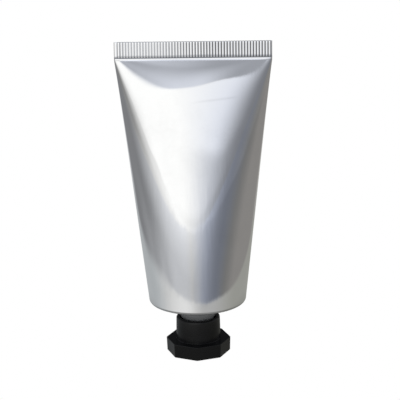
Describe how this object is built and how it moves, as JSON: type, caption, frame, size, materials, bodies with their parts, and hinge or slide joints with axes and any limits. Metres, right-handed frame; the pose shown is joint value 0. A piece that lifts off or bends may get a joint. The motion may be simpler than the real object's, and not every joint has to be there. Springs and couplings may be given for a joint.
{
  "type": "squeeze tube",
  "caption": "Laminate squeeze tube of hand cream with a ribbed flat seal, standing on its octagonal screw cap.",
  "frame": {"origin": "middle of the cap's flat face, on which the tube stands", "axes": "+Z along the tube's axis, from the cap up to the ribbed seal; X along the seal; -Y is the front, where a corner of the cap points"},
  "size_m": [0.0546, 0.035, 0.1128],
  "materials": {
    "sleeve": "satin silver metallised laminate",
    "shoulder": "satin silver-grey moulded polyethylene",
    "liner": "matt foamed polyethylene",
    "cap": "semi-gloss black polypropylene"
  },
  "bodies": {
    "cap": {"cap": "cap"},
    "liner": {"liner": "liner"},
    "tube": {"shoulder": "shoulder", "filled_sleeve": "sleeve"}
  },
  "joints": [
    {"name": "cap_turn", "type": "hinge", "parent": "cap", "child": "liner", "pos_m": [0, 0, 0.003], "axis": [0, 0, 1], "range_deg": [0, 1440]},
    {"name": "cap_lift", "type": "slide", "parent": "liner", "child": "tube", "axis": [0, 0, 1], "range_m": [0, 0.012]}
  ],
  "couplings": [
    {"joint": "cap_lift", "follows": "cap_turn", "m_per_rad": 0.00047746}
  ]
}
